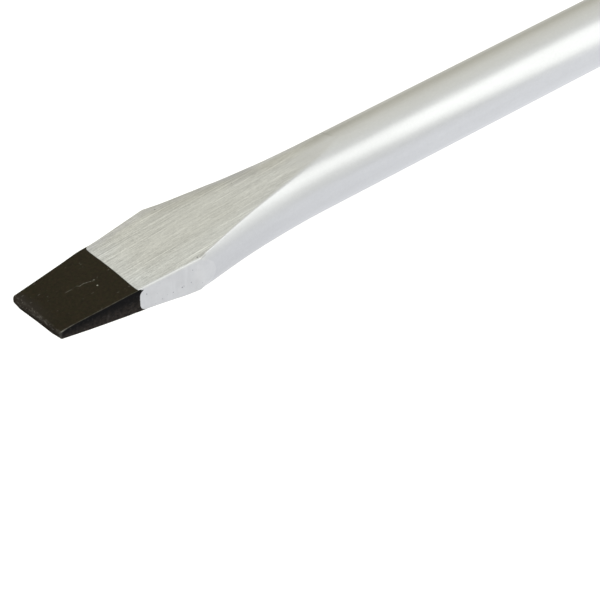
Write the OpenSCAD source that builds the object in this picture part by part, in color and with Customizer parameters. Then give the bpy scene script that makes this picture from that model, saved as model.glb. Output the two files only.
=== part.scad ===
// Slotted (flathead) screwdriver with a round, satin plated blade, a blackened
// ground tip and a moulded handle.
// The origin is the middle of the tip's working end. +X runs along the shank to
// the handle, +Z is square to the flats of the blade. Millimetres.

/* [Blade] */
// Width of the tip at its working end
tip_w = 8; // [7.4:0.2:8.6]
// Thickness of the tip at its working end
tip_t = 1.2; // [1:0.1:1.4]
// Length of the blackened tip, which is ground more steeply than the flats behind it
tip_len = 10.2; // [9.2:0.2:11.2]
// Thickness of the blade where the blackened tip ends
tip_root_t = 2.88; // [2.7:0.02:3]
// Radius of the tip's two corners, seen on the flat
tip_corner_r = 0.5; // [0.2:0.1:0.8]
// How much each ground side spreads for every millimetre back from the tip
side_slope = 0.09; // [0.082:0.002:0.096]
// Diameter of the shank
shank_d = 8; // [7.8:0.1:8.2]
// Distance from the tip to the point where the flats run out on the shank
flat_len = 41.5; // [40:0.5:43]
// Distance from the tip to the point where the forged flare fades into the shank
flare_end = 38; // [36:0.5:39]
// Radius of the barrel shaped sides of the flare, seen on the flat
flare_r = 93; // [88:1:98]
// Blade length from the tip to the handle
blade_len = 175; // [125:5:250]

/* [Tang] */
// Length of the blade that is held inside the handle
tang_len = 86; // [82:1:90]
// Span of the two pressed wings that stop the blade turning in the handle
wing_span = 13; // [11:0.5:14]
// Thickness of the wings
wing_t = 3; // [2:0.5:4]

/* [Handle] */
// Largest diameter, at the palm swell
grip_d = 35; // [34:0.5:36]
// Smallest diameter, at the waist behind the collar
waist_d = 21.6; // [21:0.2:22.4]
// Diameter of the collar in front of the thumb
collar_d = 28; // [27:0.5:29]
// Distance across the collar's six anti-roll flats
collar_af = 25.8; // [25.4:0.2:26.4]
// Diameter of the nose where the blade comes out
nose_d = 17; // [16.4:0.2:18]
// Diameter of the flat end of the cap
butt_d = 17; // [16:0.5:18]

/* [Hanging hole] */
// Diameter of the hole through the end cap
hang_d = 7; // [5:0.5:7.5]

/* [Hidden] */
$fn = 96;

r_shank = shank_d / 2;
// Stations along the handle, measured from its front face
u_nose = 4;       // back of the core's nose
u_crest0 = 11;    // collar crest begins
u_crest1 = 13;    // collar crest ends
u_thumb0 = 19.5;  // thumb grip begins
u_waist = 29;     // waist
u_thumb1 = 37;    // thumb grip ends, ring begins
u_palm0 = 40;     // palm grip begins
u_swell = 70;     // palm swell
u_palm1 = 96;     // palm grip ends, rear ring begins
u_cap = 98;       // end cap begins
u_dome = 108;     // cap rounding begins
u_end = 120;      // flat end of the cap
u_hole = 110.5;   // axis of the hanging hole
u_step = 52;      // the core's hexagon widens here
thumb_t = 1.8;    // thickness of the thumb grip
palm_t = 3.2;     // thickness of the palm grip on the lands
r_cap0 = 16;      // handle radius where the cap begins
r_cap1 = 15.2;    // handle radius where the cap rounding begins
flutes = 6;
flute_r = 8;      // radius of each flute
flute_floor = grip_d / 2 - 1.9;  // flute floor, from the handle axis
neck_hex = 7.4;   // core hexagon in front, to its corners
body_hex = 10.4;  // core hexagon behind, to its corners
rib_w = 4.6;      // width of the hard ribs that show in the palm grip
rib_u0 = 57;
rib_u1 = 91;
spigot_r = 8.6;   // core spigot that the end cap snaps onto
spigot_u = 105;
barb = 0.6;
marker_d = 12;    // slotted type marker let into the cap
marker_t = 1.6;

function ease(a, b, t) = a + (b - a) * (1 - cos(180 * t)) / 2;
function span(u, u0, u1) = (u - u0) / (u1 - u0);
// Outer radius of the handle at station u
function handle_r(u) =
    u < u_nose ? nose_d / 2 :
    u < u_crest0 ? ease(nose_d / 2, collar_d / 2, span(u, u_nose, u_crest0)) :
    u < u_crest1 ? collar_d / 2 :
    u < u_waist ? ease(collar_d / 2, waist_d / 2, span(u, u_crest1, u_waist)) :
    u < u_swell ? ease(waist_d / 2, grip_d / 2, span(u, u_waist, u_swell)) :
    u < u_cap ? ease(grip_d / 2, r_cap0, span(u, u_swell, u_cap)) :
    u < u_dome ? ease(r_cap0, r_cap1, span(u, u_cap, u_dome)) :
    butt_d / 2 + (r_cap1 - butt_d / 2) * sqrt(max(0, 1 - pow(span(u, u_dome, u_end), 2)));

// Turned length of the handle between two stations, taken in by "less" all round
module turned(u0, u1, less = 0, step = 1.5) {
    n = max(2, ceil((u1 - u0) / step));
    translate([blade_len, 0, 0]) rotate([0, 90, 0]) rotate_extrude()
        polygon(concat([[0, u0]],
            [for (i = [0:n]) let (u = u0 + (u1 - u0) * i / n) [handle_r(u - (i == n ? 0.001 : 0)) - less, u]],
            [[0, u1]]));
}
// Plain bar along the handle
module bar(r, u0, u1) translate([blade_len + u0, 0, 0]) rotate([0, 90, 0]) cylinder(r = r, h = u1 - u0);
// Hexagonal bar along the handle with flats facing up and down
module hex_bar(r, u0, u1) translate([blade_len + u0, 0, 0]) rotate([0, 90, 0]) rotate([0, 0, 30]) cylinder(r = r, h = u1 - u0, $fn = 6);
// Scallops along the palm swell, the first one facing up
module flute_cuts() for (i = [0:flutes - 1]) rotate([i * 360 / flutes, 0, 0])
    translate([blade_len + u_palm0, 0, flute_floor + flute_r]) rotate([0, 90, 0]) cylinder(r = flute_r, h = u_cap - u_palm0 - 0.5);
// Round-ended bars on the lands between the flutes
module rib_bars() for (i = [0:flutes - 1]) rotate([(i + 0.5) * 360 / flutes, 0, 0])
    translate([blade_len, 0, body_hex - 1]) linear_extrude(12) {
        translate([rib_u0 + rib_w / 2, -rib_w / 2]) square([rib_u1 - rib_u0 - rib_w, rib_w]);
        for (u = [rib_u0 + rib_w / 2, rib_u1 - rib_w / 2]) translate([u, 0]) circle(d = rib_w);
    }

// ---- blade -------------------------------------------------------------
// Thickness of the flats, seen from the side
module flats_wedge() {
    k = (r_shank - tip_root_t / 2) / (flat_len - tip_len);
    over = r_shank + 20 * k;
    rotate([90, 0, 0]) linear_extrude(60, center = true) polygon([
        [0, -tip_t / 2], [tip_len, -tip_root_t / 2], [flat_len + 20, -over], [flat_len + 40, -over],
        [flat_len + 40, over], [flat_len + 20, over], [tip_len, tip_root_t / 2], [0, tip_t / 2]]);
}
// Ground sides and rounded corners of the tip, seen on the flat
module ground_sides() linear_extrude(60, center = true) difference() {
    polygon(concat(
        [[0, -tip_w / 2], [32, -tip_w / 2 - 32 * side_slope], [32, -20], [flat_len + 45, -20]],
        [[flat_len + 45, 20], [32, 20], [32, tip_w / 2 + 32 * side_slope], [0, tip_w / 2]]));
    for (s = [-1, 1]) scale([1, s]) difference() {
        translate([-1, tip_w / 2 - tip_corner_r]) square([1 + tip_corner_r, 2]);
        translate([tip_corner_r, tip_w / 2 - tip_corner_r]) circle(r = tip_corner_r);
        translate([tip_corner_r - 0.001, tip_w / 2 - tip_corner_r - 1]) square([2, 4]);
    }
}
// One barrel shaped side of the forged flare
module flare_side() intersection() {
    translate([flare_end, -flare_r, 0]) rotate([0, 0, 90])
        rotate_extrude(angle = asin((flare_end + 2) / flare_r)) translate([flare_r, 0]) circle(r = r_shank);
    translate([-4, -30, -6]) cube([flare_end + 4, 30, 12]);
}
module forged_end() {
    flare_side();
    mirror([0, 1, 0]) flare_side();
    translate([-1, -tip_w / 2 - 0.2, -3]) cube([21, tip_w + 0.4, 6]);
    translate([flare_end, 0, 0]) rotate([0, 90, 0]) cylinder(r = r_shank, h = flat_len + 15 - flare_end);
}
module ground_end() intersection() {
    forged_end();
    flats_wedge();
    ground_sides();
}
module tip_zone() translate([-5, -20, -10]) cube([5 + tip_len, 40, 20]);
// Part of the blade inside the handle, also the shape of the hole it leaves in the core
module tang() {
    bar(r_shank, -1, tang_len - 1);
    translate([blade_len + tang_len - 1, 0, 0]) rotate([0, 90, 0]) cylinder(r1 = r_shank, r2 = r_shank - 1, h = 1);
    translate([blade_len, 0, 0]) linear_extrude(wing_t, center = true) polygon([
        [56, -2], [60, -wing_span / 2], [72, -wing_span / 2], [76, -2],
        [76, 2], [72, wing_span / 2], [60, wing_span / 2], [56, 2]]);
}
module blade() {
    color([0.80, 0.80, 0.78]) {
        difference() { ground_end(); tip_zone(); }
        translate([flat_len + 15, 0, 0]) rotate([0, 90, 0]) cylinder(r = r_shank, h = blade_len - flat_len - 15);
        tang();
    }
    color([0.13, 0.12, 0.11]) intersection() { ground_end(); tip_zone(); }
}

// ---- handle ------------------------------------------------------------
module core_outside() {
    translate([blade_len, 0, 0]) rotate([0, 90, 0]) cylinder(d1 = nose_d - 2, d2 = nose_d, h = 1);
    bar(nose_d / 2, 1, u_nose);
    hex_bar(neck_hex, u_nose - 1, u_step + 1);
    hex_bar(body_hex, u_step, u_cap);
    bar(spigot_r, u_cap - 1, spigot_u);
    // snap barb for the end cap
    translate([blade_len + u_cap + 2, 0, 0]) rotate([0, 90, 0]) cylinder(r1 = spigot_r, r2 = spigot_r + barb, h = 0.8);
    translate([blade_len + u_cap + 2.8, 0, 0]) rotate([0, 90, 0]) cylinder(r1 = spigot_r + barb, r2 = spigot_r, h = 2.4);
}
module handle_core() color([0.09, 0.09, 0.10]) difference() { core_outside(); tang(); }

// Shell without the hole for the core
module shell_outside() {
    intersection() { turned(u_nose, u_thumb0, step = 1); hex_bar(collar_af / 2 / cos(30), u_nose - 1, u_thumb0 + 1); }
    turned(u_thumb0, u_thumb1, thumb_t);
    turned(u_thumb1, u_palm0);
    turned(u_palm0, u_palm1, palm_t);
    turned(u_palm1, u_cap, step = 1);
    intersection() { rib_bars(); turned(u_palm0, u_palm1); }
}
module hard_shell() color([0.36, 0.38, 0.40]) difference() { shell_outside(); core_outside(); }

module thumb_grip() color([0.06, 0.06, 0.065]) difference() {
    turned(u_thumb0, u_thumb1);
    turned(u_thumb0, u_thumb1, thumb_t);
}
module palm_grip() color([0.06, 0.06, 0.065]) difference() {
    turned(u_palm0, u_palm1);
    turned(u_palm0, u_palm1, palm_t);
    rib_bars();
    flute_cuts();
}
module marker_space() bar(marker_d / 2, u_end - marker_t, u_end);
module end_cap() color([0.36, 0.38, 0.40]) difference() {
    turned(u_cap, u_end, step = 1);
    core_outside();
    translate([blade_len + u_hole, 0, 0]) cylinder(d = hang_d, h = 60, center = true);
    marker_space();
}
// Disc with the plain slot mark of a flat blade
module type_marker() color([0.75, 0.75, 0.74]) difference() {
    marker_space();
    translate([blade_len + u_end - 0.5, -4, -0.8]) cube([2, 8, 1.6]);
}

blade();
handle_core();
hard_shell();
thumb_grip();
palm_grip();
end_cap();
type_marker();
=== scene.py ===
import math

import bmesh
import bpy
import numpy as np
from mathutils import Matrix, Vector


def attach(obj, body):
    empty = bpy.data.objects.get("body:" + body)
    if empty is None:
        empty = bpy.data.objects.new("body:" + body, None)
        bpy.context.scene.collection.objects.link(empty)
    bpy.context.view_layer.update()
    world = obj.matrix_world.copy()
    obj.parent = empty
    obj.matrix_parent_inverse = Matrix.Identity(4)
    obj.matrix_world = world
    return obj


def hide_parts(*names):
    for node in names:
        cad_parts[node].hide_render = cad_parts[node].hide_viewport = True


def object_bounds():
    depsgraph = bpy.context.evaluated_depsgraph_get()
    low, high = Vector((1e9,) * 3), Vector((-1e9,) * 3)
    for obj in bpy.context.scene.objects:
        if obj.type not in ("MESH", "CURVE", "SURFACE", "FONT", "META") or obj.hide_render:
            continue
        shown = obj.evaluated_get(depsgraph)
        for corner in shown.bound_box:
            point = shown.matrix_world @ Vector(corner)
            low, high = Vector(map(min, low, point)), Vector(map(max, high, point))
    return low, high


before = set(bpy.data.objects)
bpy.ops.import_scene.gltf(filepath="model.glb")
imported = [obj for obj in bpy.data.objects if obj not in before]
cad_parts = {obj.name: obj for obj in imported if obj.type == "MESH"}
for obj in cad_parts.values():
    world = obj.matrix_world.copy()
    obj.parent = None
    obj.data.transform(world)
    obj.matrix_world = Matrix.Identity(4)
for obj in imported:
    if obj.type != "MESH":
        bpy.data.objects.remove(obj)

MM = 0.001
CAD_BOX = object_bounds()


# ---------------------------------------------------------------- mesh helpers
def make_mesh(name, verts, faces, attrs=None, smooth=True):
    """verts in millimetres, faces as index lists; attrs {name: values per vertex}."""
    me = bpy.data.meshes.new(name)
    me.from_pydata((np.asarray(verts, float) * MM).tolist(), [], [list(map(int, f)) for f in faces])
    me.validate(verbose=False)
    for key, vals in (attrs or {}).items():
        a = me.attributes.new(key, "FLOAT", "POINT")
        a.data.foreach_set("value", np.asarray(vals, np.float32))
    if smooth:
        me.polygons.foreach_set("use_smooth", np.ones(len(me.polygons), bool))
    me.update()
    ob = bpy.data.objects.new(name, me)
    bpy.context.scene.collection.objects.link(ob)
    return ob


def loft_faces(n_rings, n_pts, start=0):
    """Quads between consecutive closed rings, wound so that they face outward when the rings run
    counter-clockwise seen from the end the rings run towards."""
    out = []
    for i in range(n_rings - 1):
        a, b = start + i * n_pts, start + (i + 1) * n_pts
        for j in range(n_pts):
            k = (j + 1) % n_pts
            out.append((a + j, a + k, b + k, b + j))
    return out


def smooth(v, lo, hi):
    t = np.clip((v - lo) / (hi - lo), 0, 1)
    return t * t * (3 - 2 * t)


# ---------------------------------------------------------------- blade
R_SHANK = 4.0
FLARE_X, FLARE_R = 38.05, 93.2
TIP_X, FLAT_X = 10.15, 41.55
BLADE_LEN, TANG = 175.0, 86.0


def blade_h(x):
    return np.interp(x, [0, TIP_X, FLAT_X, FLAT_X + 40], [0.57, 1.485, 4.0, 4.0 + 40 * 2.56 / 31.4])


def blade_s(x):
    d = max(0.0, FLARE_X - x)
    return FLARE_R - math.sqrt(FLARE_R ** 2 - d * d)


def rounding(x, r):
    """How far a surface is set back at x from an end that is rounded with radius r."""
    return r - math.sqrt(max(0.0, r * r - (r - x) ** 2)) if x < r else 0.0


N_SIDE, N_CORNER, N_FLAT = 15, 9, 13


def blade_quadrant(x, corner_r, crowned):
    """Outline of a quarter section (y, z >= 0) from the side to the top, and the signed distance
    from the long edge: negative on the side, positive on the flat."""
    rho = np.interp(x, [0, 0.4, 9.0, 11.0, 17.8, 19.0, 23.0, 28.0, 38.0, 42.0], [0.07, 0.09, 0.10, 0.28, 0.32, 0.24, 0.244, 0.25, 0.26, 0.5] if crowned else
                    [0.07, 0.09, 0.10, 0.27, 0.29, 0.12, 0.13, 0.28, 0.52, 0.9])
    h = blade_h(x) - rounding(x, 0.07)
    w = 3.962 + 0.090 * x - rounding(x, corner_r) + (np.interp(x, [0, 3, 7, 11], [0.09, 0.05, 0.02, 0.08]) if crowned else -np.interp(x, [6, 10], [0.0, 0.03]))
    s = blade_s(x) + (np.interp(x, [19, 20.7, 22.5, 26.5, 29.5, 31.2, 33, 38], [0.12, 0.06, 0.11, 0.20, 0.16, 0.14, 0.08, 0.0]) if crowned else -np.interp(x, [17, 18.4, 19.5, 20.5, 27, 31], [0.16, 0.14, 0.08, 0.05, 0.04, 0.0]))
    rr = R_SHANK - rho

    # the far margin of each flat is rolled off by the belt grinding
    wide = min(w, s + math.sqrt(max(0.0, R_SHANK ** 2 - min(h, R_SHANK) ** 2)))
    band = min(np.interp(x, [9, 12, 20, 28, 42], [1.0, 2.4, 2.2, 2.3, 2.2]), 0.97 * wide) if crowned else 0.0
    tilt = np.interp(x, [9.5, 11.0, 19.0, 24.0, 28.0, 36.0, 40.0, 42.0], [0.0, 0.17, 0.20, 0.28, 0.40, 0.37, 0.27, 0.0]) if crowned else 0.0
    bend = tilt / band if band > 0.2 else 0.0

    def drop(v):
        return 0.5 * bend * np.maximum(0.0, v - (wide - band)) ** 2

    def slope(v):
        return bend * max(0.0, v - (wide - band))

    def side_y(v):
        return min(w - rho, s + math.sqrt(max(0.0, rr * rr - v * v)))

    zp = min(h - rho, rr)
    for _ in range(12):
        zp = min(h - rho, rr) - drop(side_y(zp))
    z = np.linspace(0, zp, 180)
    arc = s + np.sqrt(np.maximum(rr * rr - z * z, 0))
    plane = w - rho
    on_plane = plane <= arc
    y = np.minimum(plane, arc)
    ang = np.where(on_plane, 0.0, np.arctan2(z, np.maximum(arc - s, 1e-9)))
    pts = []
    for i in range(len(z)):
        if i and on_plane[i - 1] and not on_plane[i]:
            for t in np.linspace(0, 1, 8)[1:-1]:
                a = t * ang[i]
                pts.append((y[i] + rho * math.cos(a), z[i] + rho * math.sin(a)))
        pts.append((y[i] + rho * math.cos(ang[i]), z[i] + rho * math.sin(ang[i])))
    c0 = len(pts)
    for a in np.linspace(ang[-1], max(ang[-1], math.pi / 2 - math.atan(slope(y[-1]))), 40):
        pts.append((y[-1] + rho * math.cos(a), zp + rho * math.sin(a)))
    c1 = len(pts) - 1
    top = min(h - rho, rr)
    for v in np.linspace(y[-1], 0, 80)[1:]:
        f = math.atan(slope(v))
        pts.append((v + rho * math.sin(f), top - drop(v) + rho * math.cos(f)))
    p = np.array(pts)
    step = np.hypot(*np.diff(p, axis=0).T)
    length = np.concatenate([[0], np.cumsum(step)])
    total = length[-1]
    polar = np.degrees(np.arctan2(p[:, 1], p[:, 0]))
    mid = (c0 + c1) // 2
    edge = length[mid]
    if polar[mid] > 86.0:
        edge = np.interp(86.0, polar, length)
    half = min(1.7 * rho, 0.42 * edge, 0.42 * (total - edge))
    at = np.concatenate([
        np.linspace(0, edge - half, N_SIDE, endpoint=False),
        np.linspace(edge - half, edge + half, N_CORNER, endpoint=False),
        np.linspace(edge + half, total, N_FLAT)])
    return np.interp(at, length, p[:, 0]), np.interp(at, length, p[:, 1]), at - edge


def blade_ring(x):
    """One closed section, counter-clockwise seen from +X, as (y, z, edge distance)."""
    yf, zf, ef = blade_quadrant(x, 0.45, True)       # far side, +Y
    yn, zn, en = blade_quadrant(x, 0.36, False)      # near side, -Y
    y = np.concatenate([yf, -yn[::-1][1:], -yn[1:], yf[::-1][1:-1]])
    z = np.concatenate([zf, zn[::-1][1:], -zn[1:], -zf[::-1][1:-1]])
    e = np.concatenate([ef, en[::-1][1:], en[1:], ef[::-1][1:-1]])
    return y, z, e


def build_blade():
    xs = np.concatenate([
        [0, 0.007, 0.02, 0.04, 0.07], np.arange(0.12, 0.9, 0.05), np.arange(0.95, 9.0, 0.25),
        np.arange(9.0, 11.0, 0.125), np.arange(11.0, 15.0, 0.25), np.arange(15.0, 20.6, 0.1),
        np.arange(20.6, 39.0, 0.3), np.arange(39.0, 43.0, 0.12), np.arange(43.0, 45.9, 0.4)])
    xs = np.unique(np.round(xs, 3))
    xs = xs[np.concatenate([[True], np.diff(xs) > 0.005])]
    rings, edge = [], []
    for x in xs:
        y, z, e = blade_ring(float(x))
        rings.append(np.stack([np.full_like(y, x), y, z], 1))
        edge.append(e)
    # a smaller outline inside the working end, bowed so that its strips keep their width
    y, z, e = blade_ring(0.0)
    rings.insert(0, np.stack([np.zeros_like(y), y * (0.97 - 0.05 * (z / np.abs(z).max()) ** 2), 0.8 * z], 1))
    edge.insert(0, e)
    y, z, e = blade_ring(60.0)
    th = np.arctan2(z, y)
    n = len(y)
    # round shank, then the tang with its two wings inside the handle
    tail = [(x, R_SHANK, 0.0) for x in np.arange(46.0, 231.0, 2.5)]
    tail += [(231, R_SHANK, 0), (231.05, R_SHANK, 4.1), (233, R_SHANK, 5.3), (235, R_SHANK, 6.5), (241, R_SHANK, 6.5),
             (247, R_SHANK, 6.5), (249, R_SHANK, 5.3), (250.95, R_SHANK, 4.1), (251, R_SHANK, 0), (256, R_SHANK, 0),
             (260, R_SHANK, 0), (260.5, 3.5, 0), (261, 3.0, 0)]
    for x, r, wing in tail:
        rad = np.full(n, r)
        if wing:
            rad = np.maximum(rad, np.minimum(wing / np.maximum(np.abs(np.cos(th)), 1e-6), 1.5 / np.maximum(np.abs(np.sin(th)), 1e-6)))
        rings.append(np.stack([np.full(n, float(x)), rad * np.cos(th), rad * np.sin(th)], 1))
        edge.append(e)
    verts = np.concatenate(rings)
    # the tip is ground slightly out of square, and its upper front edge is worn rounder towards the far corner
    x, y, z = verts.T
    far = np.clip((y + 4.0) / 8.0, 0, 1)
    far = far * far * (3 - 2 * far)
    small = np.array([rounding(v, 0.07) for v in x])
    for sign, worn in ((1, 0.08 + 0.38 * far), (-1, 0.13 + 0.27 * far + 0.22 * smooth(-y, 2.4, 3.8))):
        drop = worn - np.sqrt(np.maximum(0, worn ** 2 - np.maximum(0, worn - x) ** 2)) - small
        z = np.where((x < 0.6) & (sign * z > 0), z - sign * np.clip(drop, 0, None) * np.clip(np.abs(z) / 0.4, 0, 1), z)
    z = np.where(z > 0, z - 0.24 * np.exp(-x / 0.85) * smooth(-y, 1.8, 3.9) * np.clip(z / 0.4, 0, 1), z)
    x = x + (0.27 - np.where(y > 0, 0.069, 0.045) * y) * np.clip(1 - x / 4.0, 0, 1)
    x = x + smooth(y, 2.7, 3.8) * np.clip(1 - x / 1.5, 0, 1) * (0.18 * np.clip(-z / 0.35, 0, 1) - 0.02 * np.clip(z / 0.35, 0, 1))
    # the lower near edge stands a little proud of the taper before the shoulder
    z = z - np.interp(x, [10, 13, 15, 16.2, 17.4, 18.8], [0.03, 0.06, 0.13, 0.18, 0.15, 0.0], left=0.0, right=0.0) * np.clip(-z / 1.2, 0, 1) * np.clip(-y / 3, 0, 1)
    verts = np.stack([x, y, z], 1)
    faces = loft_faces(len(rings), n)
    # ends: strips between the upper and the lower half of the ring
    q = N_SIDE + N_CORNER + N_FLAT
    half = 2 * q - 2
    for base, flip in ((0, False), ((len(rings) - 1) * n, True)):
        for i in range(half):
            a, b = i, i + 1
            c, d = (n - b) % n, (n - a) % n
            ids = []
            for k in (a, b, c, d):
                if base + k not in ids:
                    ids.append(base + k)
            if len(ids) > 2:
                faces.append(tuple(ids) if flip else tuple(reversed(ids)))
    return make_mesh("steel_blade", verts, faces, {"edge": np.concatenate(edge)})


# ---------------------------------------------------------------- shader helpers
class Graph:
    def __init__(self, name):
        self.mat = bpy.data.materials.new(name)
        self.mat.use_nodes = True
        self.t = self.mat.node_tree
        self.t.nodes.clear()
        self.out = self.t.nodes.new("ShaderNodeOutputMaterial")
        self.bsdf = self.t.nodes.new("ShaderNodeBsdfPrincipled")
        self.t.links.new(self.bsdf.outputs[0], self.out.inputs[0])

    def put(self, sock, v):
        if isinstance(v, bpy.types.NodeSocket):
            self.t.links.new(v, sock)
        else:
            if sock.type == "RGBA" and len(v) == 3:
                v = (*v, 1.0)
            sock.default_value = v

    def node(self, kind, **props):
        n = self.t.nodes.new(kind)
        for k, v in props.items():
            setattr(n, k, v)
        return n

    def math(self, op, a, b=0.0, c=0.0, clamp=False):
        n = self.node("ShaderNodeMath", operation=op, use_clamp=clamp)
        for i, v in enumerate((a, b, c)):
            self.put(n.inputs[i], v)
        return n.outputs[0]

    def add(self, a, b): return self.math("ADD", a, b)
    def sub(self, a, b): return self.math("SUBTRACT", a, b)
    def mul(self, a, b): return self.math("MULTIPLY", a, b)

    def step(self, v, lo, hi, a=0.0, b=1.0):
        """Smooth step of v from lo to hi, giving a to b."""
        n = self.node("ShaderNodeMapRange", interpolation_type="SMOOTHSTEP", clamp=True)
        for i, x in enumerate((v, lo, hi, a, b)):
            self.put(n.inputs[i], x)
        return n.outputs[0]

    def lin(self, v, lo, hi, a=0.0, b=1.0):
        n = self.node("ShaderNodeMapRange", interpolation_type="LINEAR", clamp=True)
        for i, x in enumerate((v, lo, hi, a, b)):
            self.put(n.inputs[i], x)
        return n.outputs[0]

    def mix(self, f, a, b, blend="MIX"):
        n = self.node("ShaderNodeMix", data_type="RGBA", blend_type=blend)
        self.put(n.inputs[0], f)
        self.put(n.inputs[6], a)
        self.put(n.inputs[7], b)
        return n.outputs[2]

    def mixf(self, f, a, b):
        n = self.node("ShaderNodeMix", data_type="FLOAT")
        self.put(n.inputs[0], f)
        self.put(n.inputs[2], a)
        self.put(n.inputs[3], b)
        return n.outputs[0]

    def attr(self, name):
        return self.node("ShaderNodeAttribute", attribute_name=name).outputs["Fac"]

    def coords(self):
        """Object coordinates in millimetres: (vector, x, y, z)."""
        tc = self.node("ShaderNodeTexCoord")
        m = self.node("ShaderNodeVectorMath", operation="SCALE")
        self.t.links.new(tc.outputs["Object"], m.inputs[0])
        m.inputs["Scale"].default_value = 1000.0
        sp = self.node("ShaderNodeSeparateXYZ")
        self.t.links.new(m.outputs[0], sp.inputs[0])
        return m.outputs[0], sp.outputs[0], sp.outputs[1], sp.outputs[2]

    def stretch(self, v, s, shift=(0, 0, 0)):
        n = self.node("ShaderNodeVectorMath", operation="MULTIPLY_ADD")
        self.put(n.inputs[0], v)
        n.inputs[1].default_value = s
        n.inputs[2].default_value = shift
        return n.outputs[0]

    def noise(self, v, scale=1.0, detail=2.0, rough=0.5, dist=0.0):
        n = self.node("ShaderNodeTexNoise")
        self.put(n.inputs["Vector"], v)
        n.inputs["Scale"].default_value = scale
        n.inputs["Detail"].default_value = detail
        n.inputs["Roughness"].default_value = rough
        n.inputs["Distortion"].default_value = dist
        return n.outputs["Fac"]

    def voronoi(self, v, scale=1.0, feature="F1"):
        n = self.node("ShaderNodeTexVoronoi", feature=feature)
        self.put(n.inputs["Vector"], v)
        n.inputs["Scale"].default_value = scale
        return n.outputs["Distance"]

    def curve(self, v, pts):
        n = self.node("ShaderNodeFloatCurve")
        c = n.mapping.curves[0]
        c.points[0].location = pts[0]
        c.points[1].location = pts[-1]
        for p in pts[1:-1]:
            c.points.new(*p)
        for p in c.points:
            p.handle_type = "VECTOR"
        n.mapping.update()
        self.put(n.inputs["Value"], v)
        return n.outputs[0]

    def bump(self, height, strength, dist_mm, normal=None):
        n = self.node("ShaderNodeBump")
        n.inputs["Strength"].default_value = strength
        n.inputs["Distance"].default_value = dist_mm * MM
        self.put(n.inputs["Height"], height)
        if normal is not None:
            self.put(n.inputs["Normal"], normal)
        return n.outputs[0]

    def set(self, **kw):
        names = {"base": "Base Color", "metal": "Metallic", "rough": "Roughness", "normal": "Normal", "spec": "Specular IOR Level",
                 "coat": "Coat Weight", "coat_rough": "Coat Roughness", "sheen": "Sheen Weight", "sheen_rough": "Sheen Roughness"}
        for k, v in kw.items():
            self.put(self.bsdf.inputs[names[k]], v)
        return self.mat


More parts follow.
